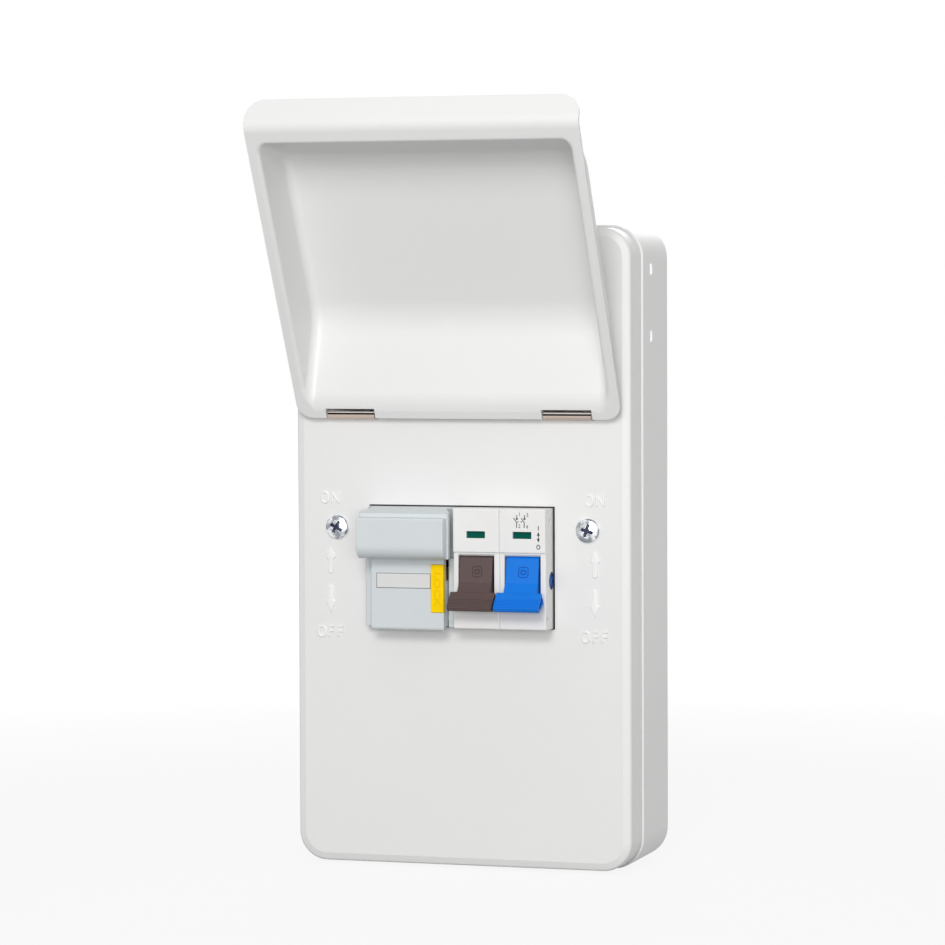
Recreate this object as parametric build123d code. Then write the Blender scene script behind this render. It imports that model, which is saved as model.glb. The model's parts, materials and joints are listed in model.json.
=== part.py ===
from build123d import *
from math import cos, hypot, radians, sin, tan
import os

# A wall-mounted fuse switch: a steel case with a hinged lid, a swing-out fuse
# holder and a two-pole main switch on a top-hat rail. Millimetres, +Z up.
# Everything is drawn from the front face of the cover (y = 0, wall side positive)
# and moved at the end, so that the origin lies on the wall face of the back box.

# how far a cut runs past a face, and how near an edge counts as on a plane
past = 1.0
near = 0.01

# case
case_depth = 52.5
cover_width = 131.3
cover_height = 240.1
cover_corner = 11.0
cover_sheet = 1.0
cover_show = 15.6
cover_overlap = 4.0
bevel_width = 3.0
bevel_drop = 1.0
edge_round = 1.2
box_sheet = 0.9
box_fit = 0.05
box_back_round = 1.5
wall_hole_r = 3.1
wall_hole_side = 21.6
wall_hole_end = 26.0
knockout_r = 10.0
knockout_x = 30.0
score_width = 0.7
score_depth = 0.4
dimple_r = 2.5
dimple_depth = 0.5
dimple_y = 27.1
dimple_z = (79.4, 104.6)
cutout_width = 73.0
cutout_gap = 0.5
rail_z = -6.87

# cover screws and their pillars
screw_side = 16.35
screw_z = 7.4
screw_head_r = 4.15
screw_head_height = 2.4
screw_head_rim = 0.85
screw_shank_r = 2.0
screw_length = 12.0
screw_hole_gap = 0.25
pillar_r = 4.5
thread_gap = 0.05

# hinge and lid
hinge_side = 20.95
hinge_z = 50.33
hinge_out = 2.2
barrel_r = 1.9
barrel_length = 18.7
pin_r = 1.0
pin_gap = 0.05
leaf_sheet = 0.9
leaf_tail = 8.0
leaf_gap = 0.1
lid_sheet = 1.1
lid_side = 2.25
lid_crease = 122.4
lid_corner = 6.0
lid_open = 151.66
rim_below_axis = 1.8
rim_overhang = 0.8
lip_angle = 50.0
lip_bend_r = 5.2
lip_flat = 7.9
lip_corner = 7.5
hollow_side = 4.2
hollow_draft = 1.5
hollow_start = 3.2
slope_start = 7.5
slope_rise = 0.9
hollow_end = 115.7
floor_start = 32.0
floor_end = 100.5
hollow_depth = 20.6
hollow_run_out = 4.0
slope_round = 12.0
floor_round_hinge = 20.0
floor_round_lip = 12.0
floor_round_side = 3.5
press_round_inside = 1.6
press_round_outside = 0.9
notch_side_gap = 0.35
notch_depth = 4.0
ear_r = 1.6
ear_length = 3.2
pin_stick_out = 0.4

# top-hat rail and rivets
rail_width = 35.0
rail_channel = 27.0
rail_height = 7.5
rail_sheet = 1.0
rail_length = 86.0
rivet_x = 20.0
rivet_r = 2.0
rivet_head_r = 3.6
rivet_head_height = 1.4

# earth bar
earth_up = 21.0
earth_width = 44.0
earth_height = 9.0
earth_depth = 10.0
earth_ways = 4
earth_hole_r = 2.4
earth_screw_r = 2.0
earth_screw_head_r = 3.0
earth_screw_proud = 3.0
earth_head_gap = 0.3

# what both rail devices share
module_gap = 0.3
device_gap = 0.8
hook_reach = 1.9
rail_gap = 0.2
device_back = 4.6
clip_width = 10.0
clip_sheet = 2.2
clip_gap = 0.15
clip_hook = 2.0
clip_tab = 4.0
clip_eye_rim = 1.0

# fuse holder
fuse_width = 36.0
fuse_middle = -18.3
fuse_top = 46.0
fuse_foot = 3.0
cheek_out = 5.3
cheek_top = 3.4
cheek_back_in = 0.6
cheek_width = 3.3
cheek_round = 0.6
pivot_out = 2.0
pivot_z = -19.0
pivot_r = 2.0
pivot_gap = 0.06
pivot_end_gap = 0.6
pivot_collar = 3.2
swing_gap = 0.82
swing_end_gap = 1.2
nose_gap = 0.3
base_wall = 1.4
tube_r = 10.5
cap_r = 11.1
cap_length = 16.0
cap_end = 1.0
fuse_length = 58.0
fuse_gap = 0.05
fuse_axis_in = 15.0
jaw_gap = 0.3
jaw_sheet = 1.1
jaw_height = 12.0
jaw_front = 9.0
jaw_bridge = 36.8
jaw_fit = 0.2
jaw_shift = 1.0

# fuse carrier
plate_width = 28.6
plate_out = 9.7
plate_thick = 3.0
plate_bottom = -23.6
plate_chamfer = 1.6
plate_round = 1.2
web_thick = 1.4
web_back = 18.0
web_low = -33.0
web_high = -5.0
web_front_gap = 0.8
rib_height = 2.5
rib_inset = 2.0
rib_back = 6.0
seat_gap = 0.25
pad_gap = 0.3
pad_height = 8.0
pad_front = 11.0
pad_back = 16.6
grip_width = 34.1
grip_out = 19.5
grip_depth = 5.0
grip_bottom = 3.6
grip_top = 19.1
grip_edge = 0.8
grip_lip = 0.2
shroud_width = 35.0
shroud_step = 0.3
shroud_back = 0.2
shroud_wall = 2.4
shroud_side = 4.6
scoop_r = 7.0
scoop_depth = 2.2

# lock tab and label
tab_inner = 9.3
tab_low = -16.7
tab_high = 1.2
tab_proud = 0.3
tab_thick = 1.9
tab_gap = 0.1
stem_width = 2.9
stem_low = -6.8
stem_high = -0.6
stem_length = 11.6
label_left = -12.2
label_right = 9.2
label_low = -7.8
label_high = -2.1
label_thick = 0.2

# main switch
module_width = 18.0
module_top = 42.0
nose_out = 11.0
nose_step = 0.7
nose_round = 0.5
panel_low = 6.3
panel_chamfer = 1.5
recess_width = 14.0
recess_low = -15.1
handle_pivot_out = 2.5
handle_pivot_z = -4.53
handle_off = 30.0
drum_r = 11.4
drum_gap = 0.4
drum_width = 12.6
drum_flat_out = 8.95
drum_flat_turn = 41.0
hub_r = 3.3
hub_gap = 0.07
hub_end_gap = 0.2
neck_half = 4.2
neck_end_up = 2.3
tip_start = 12.7
tip_start_up = 2.9
tip_under = 2.1
tip_heel = 1.1
tip_heel_low = 0.4
tip_reach = 20.4
tip_reach_up = 0.8
tip_toe = 1.4
tip_toe_low = 1.6
tip_width = 17.4
tip_round = 0.9
tip_corner = 1.0
tip_wall = 0.9
tip_pocket = 4.0
window_width = 7.25
window_low = 11.5
window_high = 14.1
window_wall = 1.2
flag_width = 8.0
flag_height = 6.4
flag_thick = 1.0
flag_gap = 0.2
flag_travel = 3.2
dent_r = 1.3
dent_depth = 0.7
dent_spots = ((-4.4, 18.0), (-8.3, -19.0))

# terminals of both devices
cage_wall = 2.5
cage_gap = 0.3
terminal_screw_gap = 0.05
fuse_cage = (16.0, 20.0, 12.0)
fuse_cage_front = 20.0
fuse_cage_step = 1.8
fuse_cage_high = 33.0
fuse_screw_r = 3.5
switch_cage = (11.0, 15.0, 10.0)
switch_cage_front = 14.0
switch_cage_end = 40.0
switch_screw_r = 2.8
terminal_screw_front = 6.0
terminal_screw_bite = 1.5
screw_slot_width = 1.4
screw_slot_depth = 1.0

# places that several pieces share
lid_width = cover_width - 2 * lid_side
hollow_width = lid_width - 2 * hollow_side
hinge_x = lid_width / 2 - hinge_side
screw_x = cover_width / 2 - screw_side
cover_back = cover_sheet
box_front = cover_show
box_inner_width = cover_width + 2 * box_fit
box_inner_height = cover_height + 2 * box_fit
box_inner_corner = cover_corner + box_fit
box_width = box_inner_width + 2 * box_sheet
box_height = box_inner_height + 2 * box_sheet
wall_hole_x = box_width - 2 * wall_hole_side
wall_hole_z = box_height - 2 * wall_hole_end
box_floor = case_depth - box_sheet
earth_z = earth_up - box_height / 2
rail_front = box_floor - rail_height
shoulder = cover_back + device_gap
device_rear = rail_front + device_back
clip_front = rail_front + rail_sheet + rail_gap
lid_top = hinge_z + rim_overhang
rim_y = rim_below_axis - hinge_out
notch_half = barrel_length / 2 + notch_side_gap
swing_r = hypot(fuse_length / 2, pivot_out + fuse_axis_in + cap_r) + swing_gap
shroud_r = swing_r + shroud_step
nose_height = 2 * (pivot_z + swing_r + nose_gap)
cutout_height = nose_height + 2 * cutout_gap
fuse_low = pivot_z - fuse_length / 2
fuse_high = pivot_z + fuse_length / 2
swing_low = fuse_low - swing_end_gap
fuse_cage_low = swing_low - fuse_cage_step - fuse_cage[2]
fuse_bottom = fuse_cage_low - fuse_foot
cap_mid = fuse_length / 2 - cap_length / 2
switch_left = fuse_middle + fuse_width / 2 + module_gap
hinge_axis = Axis((0, -hinge_out, hinge_z), (1, 0, 0))


def block(x0, x1, y0, y1, z0, z1):
    low = Align.MIN
    return Pos(x0, y0, z0) * Box(x1 - x0, y1 - y0, z1 - z0, align=(low, low, low))


def rod_x(y, z, r, x0, x1):
    return extrude(Plane.YZ.offset(x0) * Pos(y, z) * Circle(r), x1 - x0)


def rod_y(x, z, r, y0, y1):
    return extrude(Plane.XZ.offset(-y0) * Pos(x, z) * Circle(r), y0 - y1)


def rod_z(x, y, r, z0, z1):
    return extrude(Plane.XY.offset(z0) * Pos(x, y) * Circle(r), z1 - z0)


def side_profile(points):
    return make_face(Polyline(*points, close=True))


def across(face, x0, x1):
    return extrude(Plane.YZ.offset(x0) * face, x1 - x0)


def inward(face, y0, y1):
    return extrude(Plane.XZ.offset(-y0) * face, y0 - y1)


# case


def cover_form(inset):
    # the pressed form of the cover, smaller by the inset on every side
    width = cover_width - 2 * inset
    height = cover_height - 2 * inset
    outline = RectangleRounded(width, height, cover_corner - inset)
    form = inward(outline, inset, cover_show + cover_overlap)
    front = form.faces().sort_by(Axis.Y)[0]
    form = chamfer(front.edges(), bevel_width, bevel_drop, reference=front)
    brim_y = inset + bevel_drop
    brim = form.edges().filter_by_position(Axis.Y, brim_y - near, brim_y + near)
    return fillet(brim, edge_round - inset) if edge_round > inset else form


def front_cover():
    cover = cover_form(0) - cover_form(cover_sheet)
    cover -= Pos(0, 0, rail_z) * inward(Rectangle(cutout_width, cutout_height), -past, 2 * cover_sheet)
    slot_low = hinge_z - barrel_r - leaf_gap
    slot_high = hinge_z - barrel_r + leaf_sheet + leaf_gap
    half = barrel_length / 2 + leaf_gap
    for side in (-1, 1):
        x = side * hinge_x
        cover -= block(x - half, x + half, -past, 2 * cover_sheet, slot_low, slot_high)
        cover -= rod_y(side * screw_x, screw_z, screw_shank_r + screw_hole_gap, -past, 2 * cover_sheet)
    return cover


def back_box():
    outline = RectangleRounded(box_width, box_height, box_inner_corner + box_sheet)
    outer = inward(outline, box_front, case_depth)
    outer = fillet(outer.faces().sort_by(Axis.Y)[-1].edges(), box_back_round)
    outline = RectangleRounded(box_inner_width, box_inner_height, box_inner_corner)
    inner = inward(outline, box_front, box_floor)
    inner = fillet(inner.faces().sort_by(Axis.Y)[-1].edges(), box_back_round - box_sheet)
    box = outer - inner
    for side in (-1, 1):
        for z in dimple_z:
            box -= dimple(side, z)
        for z in (-wall_hole_z / 2, wall_hole_z / 2):
            box -= rod_y(side * wall_hole_x / 2, z, wall_hole_r, box_floor - past, case_depth + past)
        box -= rod_y(side * rivet_x, rail_z, rivet_r, box_floor - past, case_depth + past)
        box -= knockout_score(side * knockout_x)
    return box


def dimple(side, z):
    # shallow round dent in a side wall
    ball_r = (dimple_r**2 + dimple_depth**2) / (2 * dimple_depth)
    ball = Pos(box_width / 2 + ball_r - dimple_depth, dimple_y, z) * Sphere(ball_r)
    return ball if side > 0 else mirror(ball, Plane.YZ)


def knockout_score(x):
    y = (box_front + case_depth) / 2
    top = box_height / 2
    ring = rod_z(x, y, knockout_r, top - score_depth, top + past)
    ring -= rod_z(x, y, knockout_r - score_width, top - score_depth - past, top + 2 * past)
    return ring + mirror(ring, Plane.XY)


def cover_pillar(side):
    pillar = rod_y(side * screw_x, screw_z, pillar_r, cover_back, box_floor)
    return pillar - rod_y(side * screw_x, screw_z, screw_shank_r + thread_gap, 0, screw_length + past)


def cover_screw(side):
    # pan head: a low dome over a short straight rim, turned about the screw's axis
    outline = Line((0, 0), (screw_head_r, 0))
    outline += Line((screw_head_r, 0), (screw_head_r, screw_head_rim))
    dome = ((screw_head_r, screw_head_rim), (0, screw_head_height))
    outline += Spline(*dome, tangents=((0, 1), (-1, 0)), tangent_scalars=(1, 1))
    outline += Line((0, screw_head_height), (0, 0))
    head = revolve(Plane.XY * make_face(outline), Axis.Y)
    head = Pos(side * screw_x, 0, screw_z) * Rot(X=180) * head
    return head + rod_y(side * screw_x, screw_z, screw_shank_r, -screw_head_rim, screw_length)


# hinge and lid


def hinge_leaf(side):
    # rolled barrel, with a tongue through the cover and a tail flat behind it
    x0 = side * hinge_x - barrel_length / 2
    x1 = side * hinge_x + barrel_length / 2
    low = hinge_z - barrel_r
    leaf = rod_x(-hinge_out, hinge_z, barrel_r, x0, x1)
    leaf += block(x0, x1, -hinge_out, cover_back + leaf_sheet, low, low + leaf_sheet)
    leaf += block(x0, x1, cover_back, cover_back + leaf_sheet, low - leaf_tail, low + leaf_sheet)
    return leaf - rod_x(-hinge_out, hinge_z, pin_r + pin_gap, x0 - past, x1 + past)


def hinge_pin(side):
    half = notch_half + lid_sheet + pin_stick_out
    pin = rod_x(-hinge_out, hinge_z, pin_r, side * hinge_x - half, side * hinge_x + half)
    return opened(pin)


def opened(piece):
    # from the closed lid to the open rest position
    return piece.rotate(hinge_axis, -lid_open)


def lid_point(along, out):
    # along: from the hinge edge towards the lip; out: away from the closed cover
    return (rim_y - out, lid_top - along)


def lid_hollow(grow):
    # the pressed tray of the lid: its inside, or its outside with grow = the sheet
    hinge_slope = (slope_start - hollow_start) / slope_rise
    lip_slope = (hollow_end - floor_end) / hollow_depth
    face = side_profile(
        (
            lid_point(hollow_start - hollow_run_out * hinge_slope, -hollow_run_out),
            lid_point(slope_start, slope_rise),
            lid_point(floor_start, hollow_depth),
            lid_point(floor_end, hollow_depth),
            lid_point(hollow_end + hollow_run_out * lip_slope, -hollow_run_out),
        )
    )
    if grow:
        face = offset(face, grow, kind=Kind.INTERSECTION)
    floor = face.vertices().sort_by(Axis.X)[:2].sort_by(Axis.Y)
    face = fillet(floor[1], floor_round_hinge + grow)
    lip_end = face.vertices().sort_by_distance(floor[0])[0]
    face = fillet(lip_end, floor_round_lip + grow)
    foot = face.vertices().sort_by_distance(lid_point(slope_start, slope_rise))[0]
    face = fillet(foot, slope_round - grow)
    tray = across(face, -lid_width, lid_width) & hollow_walls(hollow_width / 2 + grow)
    walls = tray.faces().sort_by(Axis.X)
    ends = walls[0].edges() + walls[-1].edges()
    open_y = tray.bounding_box().max.Y
    sides = [e for e in ends if e.center().Y < open_y - near]
    return fillet(sides, floor_round_side + grow)


def hollow_walls(half):
    # the side walls lean in towards the floor, as the press tool needs
    lean = hollow_draft / hollow_depth
    outs = (-hollow_depth, 2 * hollow_depth)
    right = [(half - lean * out, rim_y - out) for out in outs]
    left = [(-x, y) for x, y in reversed(right)]
    return extrude(side_profile((*right, *left)), 2 * lid_crease, both=True)


def lid_rim():
    # flat rim with the finger lip folded outwards at the free edge
    middle = lid_sheet / 2
    tangent_length = lip_bend_r * tan(radians(lip_angle / 2))
    flat = Line(lid_point(0, middle), lid_point(lid_crease - tangent_length, middle))
    bend = JernArc(flat @ 1, (0, -1), lip_bend_r, -lip_angle)
    lip = Line(bend @ 1, (bend @ 1) + (bend % 1) * lip_flat)
    rim = across(trace(flat + bend + lip, lid_sheet), -lid_width / 2, lid_width / 2)
    hinge_corners = rim.edges().filter_by(Axis.Y).group_by(Axis.Z)[-1]
    rim = fillet(hinge_corners, lid_corner)
    end = lip @ 1
    along = lip % 1
    lip_plane = Plane((0, end.X, end.Y), x_dir=(1, 0, 0), z_dir=(0, -along.Y, along.X))
    for side in (-1, 1):
        rim -= lip_plane * lip_corner_cut(side)
    return rim


def lip_corner_cut(side):
    # what is outside a rounded corner, drawn from the end of the lip
    middle = lid_width / 2 - lip_corner
    reach = lip_corner + past
    square = Pos(side * (middle + reach / 2), reach / 2 - lip_corner) * Rectangle(reach, reach)
    rounded = Pos(side * middle, -lip_corner) * Circle(lip_corner)
    return extrude(square - rounded, lip_bend_r, both=True)


def lid():
    tray = lid_hollow(lid_sheet)
    far = 2 * lid_width
    # ends inside the rim's own sheet, short of the hinge edge
    tray &= block(-far, far, rim_y - far, rim_y, lid_top - far, lid_top - hollow_start / 2)
    shell = lid_rim() + tray
    shell = fillet(mouth_edges(shell, rim_y - lid_sheet), press_round_outside)
    shell -= lid_hollow(0)
    shell = fillet(mouth_edges(shell, rim_y), press_round_inside)
    for side in (-1, 1):
        x = side * hinge_x
        low = lid_top - notch_depth
        out = rim_y - notch_depth
        shell -= block(x - notch_half, x + notch_half, out, rim_y + past, low, lid_top + past)
        for end in (-1, 1):
            shell += hinge_ear(x + end * (notch_half + lid_sheet / 2))
        reach = notch_half + lid_sheet + pin_stick_out
        shell -= rod_x(-hinge_out, hinge_z, pin_r, x - reach, x + reach)
    return opened(shell)


def mouth_edges(shell, y):
    # the edges where the tray runs into the flat of the rim
    flat = shell.edges().filter_by_position(Axis.Y, y - near, y + near)
    low = lid_top - hollow_end - 2 * lid_sheet - past
    high = lid_top - hollow_start / 2
    half = hollow_width / 2 + lid_sheet + past
    return [e for e in flat if abs(e.center().X) < half and low < e.center().Z < high]


def hinge_ear(x):
    x0 = x - lid_sheet / 2
    x1 = x + lid_sheet / 2
    ear = rod_x(-hinge_out, hinge_z, ear_r, x0, x1)
    return ear + block(x0, x1, -hinge_out - ear_r, rim_y, hinge_z - ear_length, hinge_z)


# rail and earth bar


def din_rail():
    # top-hat section: two flanges in front, the channel's web on the floor of the box
    half = rail_width / 2
    inner = rail_channel / 2
    back = rail_front + rail_height
    outline = side_profile(
        (
            (rail_front, -half),
            (rail_front, -inner + rail_sheet),
            (back - rail_sheet, -inner + rail_sheet),
            (back - rail_sheet, inner - rail_sheet),
            (rail_front, inner - rail_sheet),
            (rail_front, half),
            (rail_front + rail_sheet, half),
            (rail_front + rail_sheet, inner),
            (back, inner),
            (back, -inner),
            (rail_front + rail_sheet, -inner),
            (rail_front + rail_sheet, -half),
        )
    )
    rail = Pos(0, 0, rail_z) * across(outline, -rail_length / 2, rail_length / 2)
    for side in (-1, 1):
        rail -= rod_y(side * rivet_x, rail_z, rivet_r, back - 2 * rail_sheet, back + past)
    return rail


def rail_rivet(side):
    seat = box_floor - rail_sheet
    rivet = rod_y(side * rivet_x, rail_z, rivet_r, seat - past, case_depth)
    head = rod_y(side * rivet_x, rail_z, rivet_head_r, seat - rivet_head_height, seat)
    head = fillet(head.faces().sort_by(Axis.Y)[0].edges(), rivet_head_height / 2)
    return rivet + head


def earth_way(number):
    return (number - (earth_ways - 1) / 2) * earth_width / earth_ways


def earth_bar():
    half = earth_width / 2
    front = box_floor - earth_depth
    bar = block(-half, half, front, box_floor, earth_z - earth_height / 2, earth_z + earth_height / 2)
    for number in range(earth_ways):
        x = earth_way(number)
        middle = front + earth_depth / 2
        bar -= rod_z(x, middle, earth_hole_r, earth_z - earth_height, earth_z + earth_height)
        bar -= rod_y(x, earth_z, earth_screw_r + thread_gap, front - past, middle)
    return bar


def earth_screw(number):
    x = earth_way(number)
    front = box_floor - earth_depth
    head = front - earth_screw_proud
    screw = rod_y(x, earth_z, earth_screw_r, head, front + earth_depth / 2 - earth_hole_r)
    return screw + rod_y(x, earth_z, earth_screw_head_r, head, front - earth_head_gap)


# what both devices have at the rail


def rail_seat(x0, x1):
    # room for the rail in the back of a device, with a fixed hook over its upper flange
    half = rail_width / 2 + rail_gap
    slot_back = rail_front + rail_sheet + rail_gap
    seat = block(x0 - past, x1 + past, rail_front, slot_back, -half, half)
    seat += block(x0 - past, x1 + past, rail_front, device_rear + past, -half, rail_width / 2 - hook_reach)
    return seat


def clip_slot(x, low):
    half = clip_width / 2 + clip_gap
    back = clip_front + clip_sheet + clip_gap
    return block(x - half, x + half, clip_front - clip_gap, back, low - past, -rail_width / 2)


def rail_clip(x, low):
    half = clip_width / 2
    back = clip_front + clip_sheet
    clip = block(x - half, x + half, clip_front, back, low - clip_tab, clip_hook - rail_width / 2)
    eye_low = low - clip_tab + clip_eye_rim
    eye = block(x - half / 2, x + half / 2, clip_front - past, back + past, eye_low, low - clip_eye_rim)
    return Pos(0, 0, rail_z) * (clip - eye)


def terminal_cage(x, front, low, size, screw_r):
    # brass frame that the screw pulls up against the copper
    width, depth, height = size
    half = width / 2
    cage = block(x - half, x + half, front, front + depth, low, low + height)
    inner = half - cage_wall
    back = front + depth - cage_wall
    cage -= block(x - inner, x + inner, front + cage_wall, back, low - past, low + height + past)
    cage -= rod_y(x, low + height / 2, screw_r + terminal_screw_gap, front - past, front + cage_wall + past)
    return Pos(0, 0, rail_z) * cage


def cage_room(x, front, low, size, end):
    # space round a cage, open towards the end where the wire comes in
    width, depth, height = size
    half = width / 2 + cage_gap
    z0 = min(low - cage_gap, end)
    z1 = max(low + height + cage_gap, end)
    return block(x - half, x + half, front - cage_gap, front + depth + cage_gap, z0, z1)


def screw_room(x, front, low, size, screw_r):
    return rod_y(x, low + size[2] / 2, screw_r + cage_gap, shoulder - past, front + past)


def terminal_screw(x, front, low, size, screw_r):
    tip = front + cage_wall + terminal_screw_bite
    half = screw_slot_width / 2
    z = low + size[2] / 2
    head = terminal_screw_front
    screw = rod_y(x, z, screw_r, head, tip)
    slot = block(x - screw_r, x + screw_r, head - past, head + screw_slot_depth, z - half, z + half)
    return Pos(0, 0, rail_z) * (screw - slot)


# fuse holder


def fuse_x(offset_x):
    return fuse_middle + offset_x


def fuse_base():
    x0 = fuse_x(-fuse_width / 2)
    x1 = fuse_x(fuse_width / 2)
    base = block(x0, x1, shoulder, device_rear, fuse_bottom, fuse_top)
    base += block(x0, x1, -cheek_out, shoulder, -nose_height / 2, cheek_top)
    base += block(x0, x1, cheek_back_in, shoulder, cheek_top, nose_height / 2)
    base -= carrier_room()
    base = fillet(base.edges().filter_by(Axis.Z).group_by(Axis.Y)[0], cheek_round)
    base -= rod_x(-pivot_out, pivot_z, pivot_r + pivot_gap, x0 - past, x1 + past)
    for low in (jaw_low(1), jaw_low(-1)):
        base -= jaw_room(low)
    for low, end in ((fuse_cage_high, fuse_top + past), (fuse_cage_low, fuse_bottom - past)):
        base -= cage_room(fuse_middle, fuse_cage_front, low, fuse_cage, end)
        base -= screw_room(fuse_middle, fuse_cage_front, low, fuse_cage, fuse_screw_r)
    base -= rail_seat(x0, x1) + clip_slot(fuse_middle, fuse_bottom)
    return Pos(0, 0, rail_z) * base


def carrier_room():
    # the carrier and its fuse swing in this drum-shaped hollow
    half = fuse_width / 2 - cheek_width
    x0 = fuse_x(-half)
    x1 = fuse_x(half)
    drum = rod_x(-pivot_out, pivot_z, swing_r, x0, x1)
    far = 2 * swing_r
    room = block(x0, x1, shoulder + base_wall, far, swing_low, nose_height / 2)
    room += block(x0, x1, -far, far, -nose_height / 2, nose_height / 2)
    return drum & room


def jaw_low(end):
    return pivot_z + end * (cap_mid + jaw_shift) - jaw_height / 2


def jaw_outer():
    return cap_r + jaw_gap + jaw_sheet


def jaw_room(low):
    half = jaw_outer() + jaw_fit
    high = low + jaw_height + jaw_fit
    back = jaw_bridge + jaw_sheet + jaw_fit
    return block(fuse_x(-half), fuse_x(half), jaw_front, back, low - jaw_fit, high)


def fuse_jaw(end):
    # copper U: two leaves beside the cap and a bridge behind it
    low = jaw_low(end)
    high = low + jaw_height
    half = jaw_outer()
    inner = half - jaw_sheet
    back = jaw_bridge + jaw_sheet
    jaw = block(fuse_x(-half), fuse_x(half), jaw_front, back, low, high)
    jaw -= block(fuse_x(-inner), fuse_x(inner), jaw_front - past, jaw_bridge, low - past, high + past)
    return Pos(0, 0, rail_z) * jaw


def fuse_tube():
    tube = rod_z(fuse_middle, fuse_axis_in, tube_r, fuse_low + cap_end, fuse_high - cap_end)
    return Pos(0, 0, rail_z) * tube


def fuse_cap(end):
    tip = pivot_z + end * fuse_length / 2
    mouth = tip - end * cap_length
    floor = tip - end * cap_end
    cap = rod_z(fuse_middle, fuse_axis_in, cap_r, min(tip, mouth), max(tip, mouth))
    cap = fillet(cap.faces().filter_by(Plane.XY).sort_by(Axis.Z)[0 if end < 0 else -1].edges(), cap_end)
    cap -= rod_z(fuse_middle, fuse_axis_in, tube_r + fuse_gap, min(floor, mouth), max(floor, mouth))
    return Pos(0, 0, rail_z) * cap


def grip():
    # broad finger grip in front of a hollow shroud whose top is round about the pivot
    front = -grip_out + grip_depth
    face = side_profile(
        (
            (-grip_out, grip_bottom),
            (-grip_out, grip_top),
            (front, grip_top),
            (front, grip_bottom),
        )
    )
    corners = face.vertices().sort_by(Axis.X)[:2].sort_by(Axis.Y)
    face = fillet(corners[0], grip_depth - grip_lip)
    face = fillet(face.vertices().sort_by_distance(corners[1])[0], grip_edge)
    handle = across(face, fuse_x(-grip_width / 2), fuse_x(grip_width / 2))
    ends = handle.faces().filter_by(Axis.X).edges()
    handle = fillet([e for e in ends if e.center().Y < front - near], grip_edge / 2)
    half = shroud_width / 2
    shroud = rod_x(-pivot_out, pivot_z, shroud_r, fuse_x(-half), fuse_x(half))
    shroud &= block(fuse_x(-half), fuse_x(half), front, shroud_back, grip_bottom, 2 * grip_top)
    inner = half - shroud_side
    hollow = rod_x(-pivot_out, pivot_z, shroud_r - shroud_wall, fuse_x(-inner), fuse_x(inner))
    floor = grip_bottom + shroud_wall
    back = shroud_back + past
    hollow &= block(fuse_x(-inner), fuse_x(inner), front + shroud_wall, back, floor, 2 * grip_top)
    shroud -= hollow
    for side in (-1, 1):
        x = fuse_x(side * (half + scoop_r - scoop_depth))
        y = (front + shroud_back) / 2
        shroud -= rod_z(x, y, scoop_r, grip_bottom - past, 2 * grip_top)
    return handle + shroud


def carrier_web(side):
    # side wall from the front plate to the fuse, cut away below the front of the base
    low_front = shoulder + base_wall + web_front_gap
    face = side_profile(
        (
            (-plate_out + plate_thick / 2, web_high),
            (web_back, web_high),
            (web_back, web_low),
            (low_front, web_low),
            (low_front, pivot_z - pivot_collar),
            (-pivot_out - pivot_collar, pivot_z - pivot_collar),
            (-plate_out + plate_thick / 2, pivot_z),
        )
    )
    outer = plate_width / 2
    x0, x1 = sorted((side * outer, side * (outer - web_thick)))
    return across(face, fuse_x(x0), fuse_x(x1))


def saddle(low, front):
    # rib between the webs, hollowed to the tube
    half = plate_width / 2 - web_thick / 2
    rib = block(fuse_x(-half), fuse_x(half), front, rib_back, low, low + rib_height)
    return rib - rod_z(fuse_middle, fuse_axis_in, tube_r + seat_gap, low - past, low + rib_height + past)


def fuse_pad(side):
    # springy pad on a web that holds the tube
    outer = plate_width / 2 - web_thick / 2
    x0, x1 = sorted((side * outer, side * (tube_r + pad_gap)))
    half = pad_height / 2
    return block(fuse_x(x0), fuse_x(x1), pad_front, pad_back, pivot_z - half, pivot_z + half)


def fuse_carrier():
    half = plate_width / 2
    back = -plate_out + plate_thick
    chamfered = plate_bottom + plate_chamfer
    plate_top = grip_bottom + shroud_wall
    face = side_profile(
        (
            (-plate_out, plate_top),
            (-plate_out, plate_bottom),
            (back - plate_chamfer, plate_bottom),
            (back, chamfered),
            (back, plate_top),
        )
    )
    face = fillet(face.vertices().sort_by(Axis.X)[:2].sort_by(Axis.Y)[0], plate_round)
    carrier = across(face, fuse_x(-half), fuse_x(half)) + grip()
    for side in (-1, 1):
        carrier += carrier_web(side) + fuse_pad(side)
        x0, x1 = sorted((side * (half - web_thick / 2), side * (fuse_width / 2 - pivot_end_gap)))
        carrier += rod_x(-pivot_out, pivot_z, pivot_r, fuse_x(x0), fuse_x(x1))
    carrier += saddle(web_low + rib_inset, shoulder + base_wall + web_front_gap)
    carrier += saddle(web_high - rib_inset - rib_height, back - plate_thick / 2)
    carrier -= tab_room()
    return Pos(0, 0, rail_z) * carrier


def tab_room():
    # rebate for the tab's face and a guide slot for its stem
    x0 = fuse_x(tab_inner - tab_gap)
    x1 = fuse_x(plate_width / 2) + past
    front = -plate_out - past
    back = -plate_out - tab_proud + tab_thick + tab_gap
    room = block(x0, x1, front, back, tab_low - tab_gap, tab_high + tab_gap)
    stem_x = fuse_x(tab_inner + stem_width + tab_gap)
    return room + block(x0, stem_x, front, rib_back, stem_low - tab_gap, stem_high + tab_gap)


def lock_tab():
    front = -plate_out - tab_proud
    tab = block(fuse_x(tab_inner), fuse_x(plate_width / 2), front, front + tab_thick, tab_low, tab_high)
    x0 = fuse_x(tab_inner)
    tab += block(x0, x0 + stem_width, front, front + tab_thick + stem_length, stem_low, stem_high)
    return Pos(0, 0, rail_z) * tab


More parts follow.
